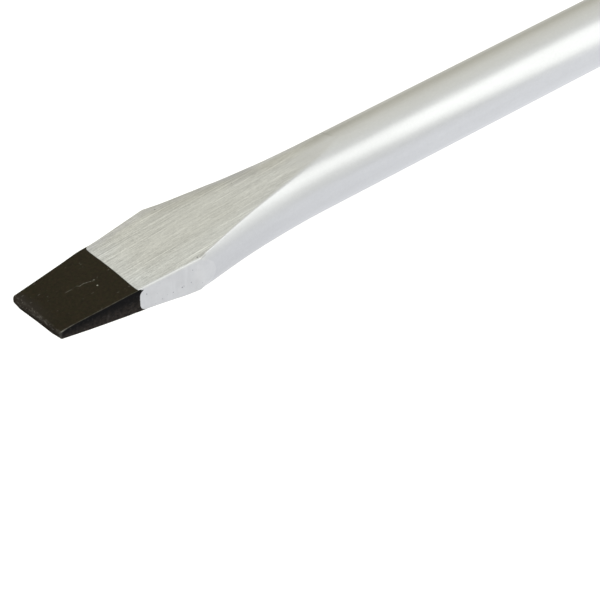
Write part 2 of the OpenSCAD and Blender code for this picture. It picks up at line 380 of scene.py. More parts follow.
# ---------------------------------------------------------------- blade finish
def steel_material():
    g = Graph("blade_finish")
    v, x, y, z = g.coords()
    edge = g.attr("edge")
    d = g.math("ABSOLUTE", edge)
    side = g.step(edge, 0.03, -0.03)

    # --- black tip: straight line over the flat, a little further back on the side, drawn out along the edges
    near = g.step(y, 0.5, -0.5)
    off = g.add(edge, 0.22)
    hook = g.math("EXPONENT", g.mul(g.math("ABSOLUTE", off), g.mixf(g.step(off, -0.02, 0.02), -3.8, -8.0)))
    fall = g.math("EXPONENT", g.mul(d, g.mixf(side, -5.0, -5.5)))
    creep = g.mixf(g.mul(near, g.step(z, -0.4, 0.4)), g.mul(fall, g.mixf(near, 0.72, 1.1)), g.mul(hook, 0.52))
    wob = g.noise(g.stretch(v, (0.9, 0.9, 0.9)), 1.0, 3.0, 0.6)
    wob = g.mul(g.sub(wob, 0.5), g.mixf(side, 0.07, 0.34))
    bow = g.sub(g.step(y, -4.2, 0.2, 0.0, 0.118), g.step(y, 1.6, 3.2, 0.0, 0.045))
    line = g.add(g.add(g.mixf(side, bow, 0.20), creep), g.add(wob, TIP_X))
    coat = g.step(g.sub(x, line), 0.045, -0.045)

    # --- flats: fine grinding lines along the blade
    flatness = g.mul(g.step(edge, 0.04, 0.25), g.step(g.add(x, g.step(y, 1.2, -0.2, 0.0, 3.5)), 41.5, 36.5))
    s1 = g.noise(g.stretch(v, (0.40, 5.5, 0.8)), 1.0, 3.0, 0.62)
    s2 = g.noise(g.stretch(v, (0.55, 11.0, 1.0), (7.3, 1.1, 0.0)), 1.0, 2.0, 0.6)
    s3 = g.noise(g.stretch(v, (0.08, 1.5, 0.5), (3.1, 9.4, 0.0)), 1.0, 2.0, 0.5)
    s4 = g.noise(g.stretch(v, (0.11, 5.9, 1.0), (1.3, 4.1, 0.0)), 1.0, 2.0, 0.60)
    fine = g.noise(g.stretch(v, (5.0, 8.0, 5.0), (0.3, 2.1, 0.0)), 1.0, 2.0, 0.6)
    s5 = g.noise(g.stretch(v, (1.5, 8.5, 1.0), (4.6, 0.7, 0.0)), 1.0, 2.0, 0.65)
    light_line = g.step(s4, 0.60, 0.70)
    dark_line = g.step(s2, 0.40, 0.28)
    cloud = g.noise(g.stretch(v, (0.22, 0.35, 0.35)), 1.0, 2.0, 0.5)
    flat_v = g.add(g.mul(g.sub(s1, 0.5), 0.62), g.add(g.mul(g.sub(s3, 0.5), 0.20), g.mul(g.sub(s4, 0.5), 0.55)))
    flat_v = g.add(flat_v, g.mul(light_line, 0.20))
    flat_v = g.sub(flat_v, g.mul(dark_line, 0.24))
    flat_v = g.add(flat_v, g.add(g.mul(g.sub(fine, 0.5), 0.45), g.mul(g.sub(s5, 0.5), g.step(x, 14.0, 20.0, 0.50, 0.58))))
    flat_v = g.mul(flat_v, g.step(x, 15.0, 20.0, 1.06, 0.74))
    flat_v = g.add(flat_v, g.mul(g.sub(s3, 0.5), g.step(x, 22.0, 27.0, 0.0, 0.16)))
    flat_v = g.add(flat_v, g.mul(g.sub(cloud, 0.5), 0.12))

    # --- ground sides between the tip and the shoulder: marks across the thickness
    ground = g.mul(side, g.step(x, 20.2, 17.0))
    v1 = g.noise(g.stretch(v, (2.6, 0.6, 0.35), (1.7, 0.0, 4.0)), 1.0, 3.0, 0.6)
    v2 = g.noise(g.stretch(v, (0.8, 0.8, 0.9), (5.0, 2.0, 1.0)), 1.0, 3.0, 0.55)
    ground_v = g.add(g.mul(g.sub(v1, 0.5), 0.16), g.mul(g.sub(v2, 0.5), 0.18))
    speck = g.noise(g.stretch(v, (3.1, 3.1, 2.2), (11.0, 3.0, 2.0)), 1.0, 1.0, 0.5)
    speck = g.mul(g.step(speck, 0.72, 0.78), ground)

    # --- shank: satin plating
    p1 = g.noise(g.stretch(v, (0.12, 1.3, 1.3), (2.0, 5.0, 1.0)), 1.0, 3.0, 0.55)
    p2 = g.noise(v, 3.4, 3.0, 0.6)
    p3 = g.noise(g.stretch(v, (0.5, 2.6, 2.6), (8.0, 1.0, 3.0)), 1.0, 2.0, 0.5)
    shank_v = g.add(g.mul(g.sub(p1, 0.5), 0.08), g.add(g.mul(g.sub(p2, 0.5), 0.11), g.mul(g.sub(p3, 0.5), 0.05)))

    pits = None
    for px, py, pz, pr in ((17.95, -5.14, 2.11, 0.15), (19.65, 4.50, 2.15, 0.13), (15.61, -5.34, -0.66, 0.12), (14.46, -5.23, -0.80, 0.09), (16.76, -5.44, -0.51, 0.08), (17.0, -5.46, 1.05, 0.08), (28.4, 2.0, 2.88, 0.10)):
        nd = g.node("ShaderNodeVectorMath", operation="DISTANCE")
        g.put(nd.inputs[0], v)
        nd.inputs[1].default_value = (px, py, pz)
        one = g.step(nd.outputs["Value"], pr, pr * 0.45)
        pits = one if pits is None else g.math("MAXIMUM", pits, one)

    val = g.mixf(flatness, shank_v, flat_v)
    val = g.mixf(ground, val, ground_v)
    beige = g.mix(g.step(x, 10.3, 14.5), (0.592, 0.597, 0.588), (0.574, 0.574, 0.553))
    beige = g.mix(g.step(x, 22.0, 33.0), beige, (0.590, 0.591, 0.580))
    beige = g.mix(g.step(y, -1.5, -3.6), beige, g.mix(1.0, beige, (1.022, 1.030, 1.048), "MULTIPLY"))
    steel = g.mix(flatness, (0.578, 0.580, 0.582), beige)
    steel = g.mix(ground, steel, (0.590, 0.590, 0.584))
    fac = g.add(val, 1.0)
    n = g.node("ShaderNodeVectorMath", operation="SCALE")
    g.put(n.inputs[0], steel)
    g.put(n.inputs["Scale"], fac)
    steel = n.outputs[0]
    # painted highlight: the base colour is lightened along the near top edge between the coat and the shoulder
    painted_edge_highlight = g.mul(g.mul(g.step(d, 0.22, 0.06), g.step(y, 0.5, -0.5)), g.mul(g.step(z, 0.1, 0.4), g.mul(g.step(x, 10.6, 11.4), g.step(x, 18.5, 18.0))))
    steel = g.mix(painted_edge_highlight, steel, g.mix(1.0, steel, (1.09, 1.09, 1.08), "MULTIPLY"))
    # painted light and shade: a painted highlight in a paler curve where the ground side ends, painted shade where the
    # flare starts, and painted shade over the edge highlight where it turns
    turn = g.sub(x, g.sub(19.95, g.mul(g.mul(z, z), g.step(z, -0.3, 0.3, 0.20, 0.36))))
    painted_pale_highlight = g.mul(g.mul(side, g.step(x, 16.7, 17.8)), g.mul(g.step(turn, 0.14, -0.14), g.step(v2, 0.38, 0.58, 0.55, 1.1)))
    steel = g.mix(painted_pale_highlight, steel, g.mix(1.0, steel, (1.052, 1.050, 1.040), "MULTIPLY"))
    # painted shade: the flare just past the shoulder is darkened, more so low down
    painted_flare_shade = g.mul(g.mul(side, g.step(turn, -0.12, 0.12)), g.mul(g.step(x, 31.0, 23.0), g.step(z, 1.8, 1.3)))
    steel = g.mix(painted_flare_shade, steel, g.mix(1.0, steel, g.mix(g.step(z, 0.3, -1.1), (0.974, 0.974, 0.974), (0.945, 0.945, 0.942)), "MULTIPLY"))
    # painted shade: the edge highlight is darkened where the edge turns at the shoulder
    corner = g.mul(g.mul(g.step(d, 0.30, 0.12), g.mul(g.step(x, 17.95, 18.25), g.step(x, 19.1, 18.8))), g.mul(g.step(y, 0.5, -0.5), g.step(z, 0.1, 0.4)))
    steel = g.mix(corner, steel, g.mix(1.0, steel, (0.77, 0.765, 0.75), "MULTIPLY"))
    # painted shade: the base colour is darkened on the upper shank where the flats run out, dimming its highlight
    up = g.step(z, 1.5, 2.8)
    painted_shade_a = g.mul(g.mul(up, g.step(y, 0.8, -0.2)), g.mul(g.step(x, 31.0, 35.0), g.step(x, 40.0, 37.0)))
    painted_shade_a = g.math("MAXIMUM", painted_shade_a, g.mul(g.mul(up, g.step(y, -1.2, -2.2)), g.mul(g.step(x, 31.5, 35.5), g.step(x, 54.0, 42.0))))
    painted_shade_b = g.mul(g.mul(up, g.step(y, -0.4, 1.4)), g.mul(g.step(x, 36.5, 40.5), g.step(x, 50.0, 43.0)))
    steel = g.mix(painted_shade_a, steel, g.mix(1.0, steel, (0.956, 0.956, 0.956), "MULTIPLY"))
    steel = g.mix(painted_shade_b, steel, g.mix(1.0, steel, (0.922, 0.922, 0.915), "MULTIPLY"))
    # the far margin of the flat: painted shade near the coat and where the flare starts to narrow, a painted lighter,
    # bluer reflection along its rim, and painted light further back
    painted_far_shade_a = g.mul(g.mul(g.step(y, 1.6, 2.4), g.step(y, 4.2, 3.6)), g.step(x, 14.0, 12.5))
    painted_far_shade_b = g.mul(g.step(y, 1.7, 2.4), g.mul(g.step(x, 24.0, 26.0), g.step(x, 31.5, 29.5)))
    painted_far_shade_d = g.mul(g.step(y, 0.9, 1.6), g.mul(g.step(x, 27.0, 29.0), g.step(x, 33.0, 31.5)))
    # painted reflection: the far rim of the flat is painted lighter and bluer
    rim = g.mul(g.step(edge, 1.5, 0.4), g.step(y, 0.3, 0.9))
    painted_far_light = g.mul(g.step(y, 0.0, 0.7), g.mul(g.step(x, 31.0, 32.5), g.step(x, 38.5, 36.0)))
    steel = g.mix(g.mul(flatness, g.math("MAXIMUM", painted_far_shade_a, painted_far_shade_b)), steel, g.mix(1.0, steel, (0.943, 0.945, 0.952), "MULTIPLY"))
    steel = g.mix(g.mul(flatness, painted_far_shade_d), steel, g.mix(1.0, steel, (0.940, 0.942, 0.965), "MULTIPLY"))
    steel = g.mix(g.mul(flatness, rim), steel, g.mix(1.0, steel, (1.012, 1.014, 1.068), "MULTIPLY"))
    steel = g.mix(g.mul(flatness, painted_far_light), steel, g.mix(1.0, steel, (1.062, 1.062, 1.062), "MULTIPLY"))
    steel = g.mix(g.math("MAXIMUM", speck, g.mul(pits, 0.75)), steel, (0.20, 0.20, 0.21))
    steel_rough = g.mixf(flatness, 0.325, g.add(g.mul(s1, 0.16), 0.32))
    steel_rough = g.mixf(ground, steel_rough, 0.36)
    flare = g.mul(g.mul(side, g.step(x, 18.0, 20.5)), g.step(x, 36.0, 28.0))
    steel_rough = g.mixf(flare, steel_rough, 0.375)

    # --- black: olive brown on the flats, neutral on the ground sides and the end
    b1 = g.noise(g.stretch(v, (0.55, 0.55, 0.55), (4.0, 1.0, 6.0)), 1.0, 4.0, 0.6)
    b2 = g.noise(g.stretch(v, (2.2, 2.2, 2.2), (0.4, 8.0, 3.0)), 1.0, 3.0, 0.6)
    b3 = g.noise(g.stretch(v, (3.4, 3.4, 3.4), (1.4, 3.0, 5.0)), 1.0, 3.0, 0.65)
    tone = g.add(g.mul(g.sub(b1, 0.5), 0.40), g.mul(g.sub(b3, 0.5), 1.50))
    sc = g.node("ShaderNodeVectorMath", operation="SCALE")
    g.put(sc.inputs[0], g.mix(g.step(b2, 0.36, 0.64), (0.0182, 0.0127, 0.0058), (0.0160, 0.0134, 0.0052)))
    g.put(sc.inputs["Scale"], g.math("MAXIMUM", g.add(tone, 1.0), 0.2))
    olive = sc.outputs[0]
    low = g.math("DIVIDE", z, g.add(g.mul(x, 0.085), 0.57))          # +1 at the upper edge, -1 at the lower
    # painted shade: the ground sides of the tip are darker towards the upper edge and paler towards the lower edge,
    # where the pale blotches also gather
    painted_side_shade = g.step(g.add(low, g.mul(g.sub(b2, 0.5), 1.3)), 0.75, -0.85)
    dark = g.mix(painted_side_shade, (0.0004, 0.0002, 0.0002), (0.0158, 0.0124, 0.0098))
    sc = g.node("ShaderNodeVectorMath", operation="SCALE")
    g.put(sc.inputs[0], dark)
    g.put(sc.inputs["Scale"], g.mul(g.math("MAXIMUM", g.add(g.mul(g.sub(b3, 0.5), 3.8), 0.88), 0.1), g.step(x, 1.0, 7.0, 1.0, 1.3)))
    dark = sc.outputs[0]
    b4 = g.noise(g.stretch(v, (2.6, 2.6, 3.2), (9.0, 2.0, 1.0)), 1.0, 4.0, 0.7)
    dark = g.mix(g.mul(g.step(b4, 0.54, 0.74), g.step(low, 0.8, 0.2, 0.15, 0.8)), dark, (0.042, 0.038, 0.038))
    over = g.step(edge, 0.02, -0.10)                                  # the brown rolls over the edge a little
    black = g.mix(over, olive, dark)
    front = g.sub(x, g.sub(0.27, g.mul(y, g.step(y, -0.3, 0.3, 0.045, 0.069))))     # distance behind the working end
    end = g.step(front, 0.10, 0.02)
    e1 = g.noise(g.stretch(v, (2.0, 1.5, 2.0), (2.0, 6.0, 0.0)), 1.0, 4.0, 0.65)
    worn_r = g.step(y, -4.0, 4.0, 0.12, 0.50)                         # how far the front edge is rounded
    band = g.mul(g.step(g.sub(front, worn_r), 0.10, -0.10), g.step(z, -0.05, 0.25))
    dull = g.mul(g.step(g.add(front, g.mul(g.sub(b1, 0.5), 2.0)), 1.7, 0.3), g.step(y, -3.0, 2.5, 0.15, 1.0))
    black = g.mix(g.mul(dull, g.step(edge, -0.05, 0.05)), black, (0.0222, 0.0180, 0.0136))
    black = g.mix(end, black, (0.0135, 0.0100, 0.0066))
    black = g.mix(g.mul(band, g.step(e1, 0.36, 0.66, 0.25, 0.95)), black, (0.044, 0.039, 0.032))
    e2 = g.noise(g.stretch(v, (3.6, 2.6, 3.6), (1.0, 2.0, 7.0)), 1.0, 2.0, 0.6)
    black = g.mix(g.mul(band, g.step(e2, 0.56, 0.68, 0.0, 0.7)), black, (0.110, 0.100, 0.086))
    black_rough = g.mixf(side, g.add(g.mul(b2, 0.14), 0.34), 0.46)
    black_rough = g.mixf(g.math("MAXIMUM", end, band), black_rough, 0.85)

    # bare metal on the tip's edges: thin along the near edge, patchy along the front
    w1 = g.noise(g.stretch(v, (1.4, 2.0, 2.0), (0.0, 3.0, 0.0)), 1.0, 3.0, 0.65)
    rub = g.mul(g.step(d, 0.085, 0.015), g.step(w1, 0.34, 0.66, 0.10, 0.26))
    rub = g.mul(rub, g.step(x, 2.8, 0.5, 0.62, 2.1))
    rub = g.math("MAXIMUM", rub, g.mul(g.mul(g.step(d, 0.13, 0.03), g.step(y, -3.60, -3.80)), g.step(front, 1.15, 0.25, 0.0, 0.46)))
    rub = g.mul(g.mul(rub, g.step(z, -0.2, 0.2, 0.15, 1.0)), g.step(front, 0.06, 0.24))
    lip = g.mul(g.step(front, 0.34, 0.16), g.step(z, -0.15, 0.12))
    lip = g.mul(lip, g.step(e1, 0.50, 0.70, 0.0, 0.08))
    post = g.mul(g.step(front, 0.36, 0.14), g.step(y, -3.66, -3.88))
    post = g.mul(post, g.step(e1, 0.30, 0.60, 0.06, 0.13))
    rub = g.math("MAXIMUM", rub, g.math("MAXIMUM", lip, post))
    path = g.curve(g.lin(x, 4.2, 8.2), [(0.0, 0.76), (0.06, 0.783), (0.22, 0.742), (0.437, 0.783), (0.49, 0.558), (0.637, 0.592), (0.875, 0.283), (0.9625, 0.367), (1.0, 0.37)])
    away = g.math("ABSOLUTE", g.sub(y, g.sub(g.mul(path, 1.2), 0.5)))
    grain = g.noise(g.stretch(v, (2.4, 2.4, 0.5), (6.0, 0.0, 0.0)), 1.0, 2.0, 0.6)
    scratch = g.mul(g.step(away, 0.10, 0.03), g.mul(g.step(x, 4.25, 4.65), g.step(x, 8.02, 7.88)))
    scratch = g.mul(scratch, g.step(grain, 0.40, 0.60, 0.10, 0.75))
    scratch = g.mul(scratch, g.step(x, 5.2, 6.6, 0.45, 1.0))
    dot = g.node("ShaderNodeVectorMath", operation="DISTANCE")
    g.put(dot.inputs[0], v)
    dot.inputs[1].default_value = (7.60, -1.07, 1.22)
    dot = g.step(dot.outputs["Value"], 0.135, 0.055)
    knot = g.node("ShaderNodeVectorMath", operation="DISTANCE")
    g.put(knot.inputs[0], v)
    knot.inputs[1].default_value = (7.86, -0.10, 1.25)
    dot = g.math("MAXIMUM", dot, g.step(knot.outputs["Value"], 0.17, 0.05, 0.0, 0.30))
    top = g.mul(g.step(z, 0.1, 0.3), g.sub(1.0, side))
    nick = g.noise(g.stretch(v, (1.6, 3.4, 1.0), (3.0, 5.0, 2.0)), 1.0, 1.0, 0.5)
    nick = g.step(nick, 0.695, 0.79, 0.0, 0.12)
    scratch = g.mul(g.math("MAXIMUM", g.math("MAXIMUM", g.mul(scratch, 0.42), nick), dot), top)
    worn = g.mul(coat, g.math("MAXIMUM", rub, scratch))

    base = g.mix(coat, steel, black)
    base = g.mix(worn, base, (0.33, 0.32, 0.28))
    metal = g.add(g.sub(1.0, coat), worn)
    rough = g.mixf(coat, steel_rough, black_rough)
    rough = g.mixf(worn, rough, 0.38)

    height = g.mixf(flatness, p2, g.add(s1, g.mul(s2, 0.6)))
    height = g.mixf(coat, height, b2)
    nrm = g.bump(height, 0.25, 0.02)
    return g.set(base=base, metal=metal, rough=rough, normal=nrm, spec=0.06)


# ---------------------------------------------------------------- handle
N_TURN = 240                                             # points round a turned surface
TURN = np.arange(N_TURN) * 2 * np.pi / N_TURN            # angle from +Y towards +Z
ROUND = np.linspace(0, np.pi / 2, 6)                     # steps round a rounded edge
ROUND_WEAR = np.sin(2 * ROUND)


def ease(a, b, t):
    return a + (b - a) * (1 - np.cos(np.pi * np.clip(t, 0, 1))) / 2


def soft_min(a, b, k):
    h = np.maximum(k - np.abs(a - b), 0) / k
    return np.minimum(a, b) - h * h * k / 4


def handle_r(u):
    """Outer radius of the handle, u millimetres behind its front face."""
    u = np.asarray(u, float)
    r = np.full(u.shape, 8.5)
    for lo, hi, a, b in ((4, 11, 8.5, 14), (11, 13, 14, 14), (13, 29, 14, 10.8), (29, 70, 10.8, 17.5), (70, 98, 17.5, 16), (98, 108, 16, 15.2)):
        r = np.where((u > lo) & (u <= hi), ease(a, b, (u - lo) / (hi - lo)), r)
    dome = 8.5 + 6.7 * np.sqrt(np.maximum(0, 1 - (np.clip(u - 108, 0, 12) / 12) ** 2))
    return np.where(u > 108, dome, r)


def off_flat(th):
    """Angle from the nearest of six directions, the first one facing up."""
    return np.mod(th, np.pi / 3) - np.pi / 6


def hexagon(corner, th=TURN):
    return corner * math.cos(math.pi / 6) / np.cos(off_flat(th))


class Piece:
    """Grids of points gathered into one welded, closed mesh; x is measured from the handle's front face."""

    def __init__(self):
        self.v, self.f, self.w, self.n = [], [], [], 0

    def grid(self, rows, wear=0.0):
        """Closed rows of points joined by quads; wear is one value, or one for each row."""
        rows = np.asarray(rows, float)
        m, n = rows.shape[:2]
        j = np.arange(n)
        k = (j + 1) % n
        for i in range(m - 1):
            a, b = self.n + i * n, self.n + (i + 1) * n
            self.f.extend(np.stack([a + j, a + k, b + k, b + j], 1).tolist())
        self.v.append(rows.reshape(-1, 3))
        self.w.append(np.broadcast_to(np.asarray(wear, float).reshape(-1, 1), (m, n)).ravel())
        self.n += m * n

    def turn(self, rings, wear=0.0, th=TURN):
        """Rings given as (u, r), where r is a number or has one value for each angle."""
        rows = []
        for u, r in rings:
            r = np.broadcast_to(r, th.shape)
            rows.append(np.stack([np.full(th.shape, float(u)), r * np.cos(th), r * np.sin(th)], 1))
        self.grid(rows, wear)

    def strip(self, row):
        """Closes a row that mirrors about its first point with strips from one half to the other."""
        n = len(row)
        for i in range(n // 2):
            ids = []
            for k in (i, i + 1, (n - i - 1) % n, (n - i) % n):
                if self.n + k not in ids:
                    ids.append(self.n + k)
            if len(ids) > 2:
                self.f.append(ids)
        self.v.append(np.asarray(row, float))
        self.w.append(np.full(n, self.w[-1][-1]))
        self.n += n

    def build(self, name):
        ob = make_mesh(name, np.concatenate(self.v) + (BLADE_LEN, 0, 0), self.f, {"wear": np.concatenate(self.w)})
        bm = bmesh.new()
        bm.from_mesh(ob.data)
        bmesh.ops.remove_doubles(bm, verts=bm.verts, dist=2e-6)
        bmesh.ops.recalc_face_normals(bm, faces=bm.faces)
        bm.to_mesh(ob.data)
        bm.free()
        ob.data.polygons.foreach_set("use_smooth", np.ones(len(ob.data.polygons), bool))
        ob.data.set_sharp_from_angle(angle=math.radians(38.0))
        ob.data.update()
        return ob


def corner_rings(u, r, du, dr, radius):
    """Rounded corner at (u, r): starts radius away along u on the side du points to, ends radius away along r towards dr."""
    return [(u + du * radius * (1 - math.sin(b)), r + dr * radius * (1 - math.cos(b))) for b in ROUND]


def build_core():
    p = Piece()
    # bore with pockets for the tang's wings
    def bore(wing):
        c, s = np.abs(np.cos(TURN)), np.abs(np.sin(TURN))
        return np.maximum(4.03, np.minimum((wing + 0.03) / np.maximum(c, 1e-6), 1.53 / np.maximum(s, 1e-6)))
    rings = [(86.05, 0.0), (86.05, 3.05), (85.05, 4.03), (76.05, 4.03)]
    rings += [(u, bore(w)) for u, w in ((76.0, 4.1), (74, 5.3), (72, 6.5), (66, 6.5), (60, 6.5), (58, 5.3), (56.0, 4.1))]
    rings += [(55.95, 4.03), (30, 4.03), (10, 4.03), (2, 4.03)]
    # nose: rounded mouth, shallow ring in the front face, rounded rim, parting groove at the back
    rings += corner_rings(0.0, 4.03, 1, 1, 0.42)
    rings += [(0.0, 4.9), (0.1, 5.0), (0.28, 5.1), (0.34, 5.3), (0.34, 6.3), (0.28, 6.5), (0.1, 6.6), (0.0, 6.7)]
    rings += [(1.6 * (1 - math.sin(b)), 6.9 + 1.6 * math.cos(b)) for b in np.linspace(math.pi / 2, 0, 10)]
    rings += [(2.6, 8.5), (3.4, 8.5)] + corner_rings(3.98, 8.5, -1, -1, 0.3)
    # inside the handle
    rings += [(3.98, hexagon(7.38)), (28, hexagon(7.38)), (51.98, hexagon(7.38)), (51.98, hexagon(10.38)), (75, hexagon(10.38)), (97.98, hexagon(10.38))]
    rings += [(97.98, 8.58), (100.0, 8.58), (100.8, 9.16), (103.2, 8.58), (104.98, 8.58), (104.98, 0.0)]
    wear = np.array([1.0 if 0.05 < u < 1.2 else 0.0 for u, r in rings])
    p.turn(rings, wear)
    return p.build("core_nose")


# A sixth of the palm, seen from outside: a round-ended rib in the middle, the deepest line of a flute along each side
M_SHORT, M_LONG, M_FRONT, M_REAR = N_TURN // 6, 168, 20, 8
RIB_A, RIB_B, RIB_W = 59.3, 88.7, 2.3


def rib_outline(out):
    """Outline of a rib as (u, distance across), taken out by out."""
    w = RIB_W + out
    mf, mr, ms = M_SHORT + 2 * M_FRONT, M_SHORT + 2 * M_REAR, M_LONG - M_FRONT - M_REAR
    a, b, t = np.arange(mf) / mf * np.pi, np.arange(mr) / mr * np.pi, np.arange(ms) / ms
    return np.concatenate([
        np.stack([RIB_A - w * np.sin(a), -w * np.cos(a)], 1),
        np.stack([RIB_A + (RIB_B - RIB_A) * t, np.full(ms, w)], 1),
        np.stack([RIB_B + w * np.sin(b), w * np.cos(b)], 1),
        np.stack([RIB_B - (RIB_B - RIB_A) * t, np.full(ms, -w)], 1)])


def sector_outline(u0, u1):
    """Edge of the sixth as (u, angle from the rib), matched point for point to rib_outline."""
    h, s, t = np.pi / 6, np.arange(M_SHORT) / M_SHORT, np.arange(M_LONG) / M_LONG
    pts = np.concatenate([
        np.stack([np.full(M_SHORT, u0), -h + 2 * h * s], 1),
        np.stack([u0 + (u1 - u0) * t, np.full(M_LONG, h)], 1),
        np.stack([np.full(M_SHORT, u1), h - 2 * h * s], 1),
        np.stack([u1 - (u1 - u0) * t, np.full(M_LONG, -h)], 1)])
    return np.roll(pts, M_FRONT, axis=0)


def palm_r(u, a):
    """Outside of the palm grip: six flutes with shallow cross grooves, blended into the turned shape."""
    u = np.broadcast_to(np.asarray(u, float), np.shape(a))
    d = off_flat(a)
    flute = np.where(np.abs(d) < 0.335, 23.6 * np.cos(d) - np.sqrt(np.maximum(64 - 556.96 * np.sin(d) ** 2, 0)), 99.0)
    flute = flute + 1.2 * smooth(u, 84.0, 95.0)
    r = soft_min(handle_r(u), flute, 0.9)
    across = np.maximum(np.abs(d) * 15.6 - 2.5, 0.0)
    for c in (65.0, 68.6, 72.2, 75.8, 79.4, 83.0):
        r = r - 0.42 * (1 - smooth(np.hypot(u - c, across), 0.28, 0.92))
    return r


def rib_rows(out, radius):
    """Points of the rib outline on a surface: radius(u) gives the distance from the axis. Angle from the rib, so (u, a, r)."""
    o = rib_outline(out)
    r = radius(o[:, 0], o[:, 1])
    return np.stack([o[:, 0], np.arcsin(o[:, 1] / r), r], 1)


def sector_rows(inner, u0, u1, radius, steps):
    """Rows from an inner outline (u, a, r) to the edge of the sixth, on the surface radius(u, a)."""
    edge = sector_outline(u0, u1)
    rows = []
    for t in steps:
        ua = inner[:, :2] * (1 - t) + edge * t
        rows.append(np.concatenate([ua, radius(ua[:, 0], ua[:, 1])[:, None]], 1))
    return rows


def place(rows, turn):
    """(u, a, r) rows to points, turned to one rib."""
    rows = np.asarray(rows)
    a = rows[..., 1] + turn
    return np.stack([rows[..., 0], rows[..., 2] * np.cos(a), rows[..., 2] * np.sin(a)], -1)


def build_shell():
    p = Piece()

    def collar(u):
        return soft_min(np.full(TURN.shape, float(handle_r(u))), hexagon(12.9 / math.cos(math.pi / 6)), 0.8)

    def sleeve(u):
        return float(handle_r(u)) - 1.8

    rings, wear = [], []

    def add(more, w=0.0):
        rings.extend(more)
        wear.extend(np.broadcast_to(w, len(more)))

    up, down = ROUND_WEAR, ROUND_WEAR[::-1]
    add([(40.0, float(handle_r(40)) - 3.2)])
    add(corner_rings(40.0, float(handle_r(40)), -1, -1, 0.35)[::-1], down)
    add([(u, float(handle_r(u))) for u in (39.2, 38.5, 37.8)])
    add(corner_rings(37.0, float(handle_r(37)), 1, -1, 0.35), up)
    add([(37.0, sleeve(37))])
    add([(u, sleeve(u)) for u in np.linspace(36.9, 19.6, 12)])
    add([(19.5, sleeve(19.5))])
    add(corner_rings(19.5, collar(19.5), -1, -1, 0.45)[::-1], down)
    add([(u, collar(u)) for u in np.linspace(18.9, 4.5, 46)])
    add([(4.0 + 0.3 * (1 - math.sin(b)), 8.5 - 0.3 * (1 - math.cos(b))) for b in ROUND], up)
    add([(4.0, hexagon(7.4)), (28, hexagon(7.4)), (52.0, hexagon(7.4)), (52.0, hexagon(10.4)), (75, hexagon(10.4)), (98.0, hexagon(10.4))])
    add(corner_rings(98.0, 16.0, -1, -1, 0.35)[::-1], down)
    add([(97.2, float(handle_r(97.2))), (96.8, float(handle_r(96.8)))])
    add(corner_rings(96.0, float(handle_r(96)), 1, -1, 0.35), up)
    add([(96.0, float(handle_r(96)) - 3.2)])
    p.turn(rings, wear)

    # sleeve under the palm grip, with the ribs that stand up through its windows
    edge, lip = -0.06, 0.4
    for k in range(6):
        low = rib_rows(edge, lambda u, w: handle_r(u) - 3.2)
        rows = sector_rows(low, 40.0, 96.0, lambda u, a: handle_r(u) - 3.2, (1.0, 0.7, 0.35, 0.0))
        w = [0.0] * 4
        rows.append(rib_rows(edge, lambda u, w: handle_r(u) - 1.7))
        w.append(0.0)
        for b, x in zip(ROUND, ROUND_WEAR):
            rows.append(rib_rows(edge - lip * (1 - math.cos(b)), lambda u, w: handle_r(u) - 0.05 - lip * (1 - math.sin(b))))
            w.append(x)
        for t in np.linspace(edge - lip, -RIB_W, 6)[1:]:
            rows.append(rib_rows(t, lambda u, w: handle_r(u) - 0.05))
            w.append(0.0)
        p.grid(place(rows, k * np.pi / 3), w)
    return p.build("hard_shell_body")


def build_thumb():
    p = Piece()
    th = np.arange(384) * 2 * np.pi / 384
    groove = (0.5 + 0.5 * np.cos(24 * th)) ** 2.5

    def out(u):
        return float(handle_r(u)) - 0.42 * smooth(u, 20.5, 22.6) * smooth(-u, -36.0, -34.2) * groove

    def inn(u):
        return float(handle_r(u)) - 1.77

    rings = [(19.52, inn(19.52))] + corner_rings(19.52, out(19.52), 1, -1, 0.55)[::-1]
    wear = [0.0] + list(ROUND_WEAR)
    mid = [(u, out(u)) for u in np.linspace(20.3, 36.2, 42)]
    rings += mid + corner_rings(36.98, out(36.98), -1, -1, 0.55)
    wear += [0.0] * len(mid) + list(ROUND_WEAR)
    rings += [(36.98, inn(36.98))] + [(u, inn(u)) for u in np.linspace(36.0, 20.5, 10)] + [(19.52, inn(19.52))]
    wear += [0.0] * 12
    p.turn(rings, wear, th)
    return p.build("thumb_sleeve")


def build_palm():
    p = Piece()
    gap, lip, end = 0.05, 0.4, 0.55

    def inn(u, a):
        return handle_r(u) - 3.17

    for k in range(6):
        rows, w = [], []
        first = rib_rows(gap + lip, lambda u, x: handle_r(u))
        steps = np.linspace(1, 0, 27)
        rows += sector_rows(first, 40.0 + end, 96.0 - end, palm_r, steps)
        w += [0.0] * len(steps)
        for b, x in list(zip(ROUND, ROUND_WEAR))[1:]:
            o = rib_outline(gap + lip * (1 - math.sin(b)))
            r = palm_r(o[:, 0], np.arcsin(o[:, 1] / handle_r(o[:, 0]))) - lip * (1 - math.cos(b))
            rows.append(np.stack([o[:, 0], np.arcsin(o[:, 1] / r), r], 1))
            w.append(x)
        low = rib_rows(gap, lambda u, x: handle_r(u) - 3.17)
        under = sector_rows(low, 40.0, 96.0, inn, (0.0, 0.35, 0.7, 1.0))
        rows += under
        w += [0.0] * 4
        p.grid(place(rows, k * np.pi / 3), w)
    for u, du in ((40.0, 1), (96.0, -1)):
        rings = corner_rings(u, palm_r(np.full(TURN.shape, u + du * end), TURN), du, -1, end)
        p.turn(rings + [(u, float(handle_r(u)) - 3.17)], list(ROUND_WEAR) + [0.0])
    return p.build("palm_sleeve")


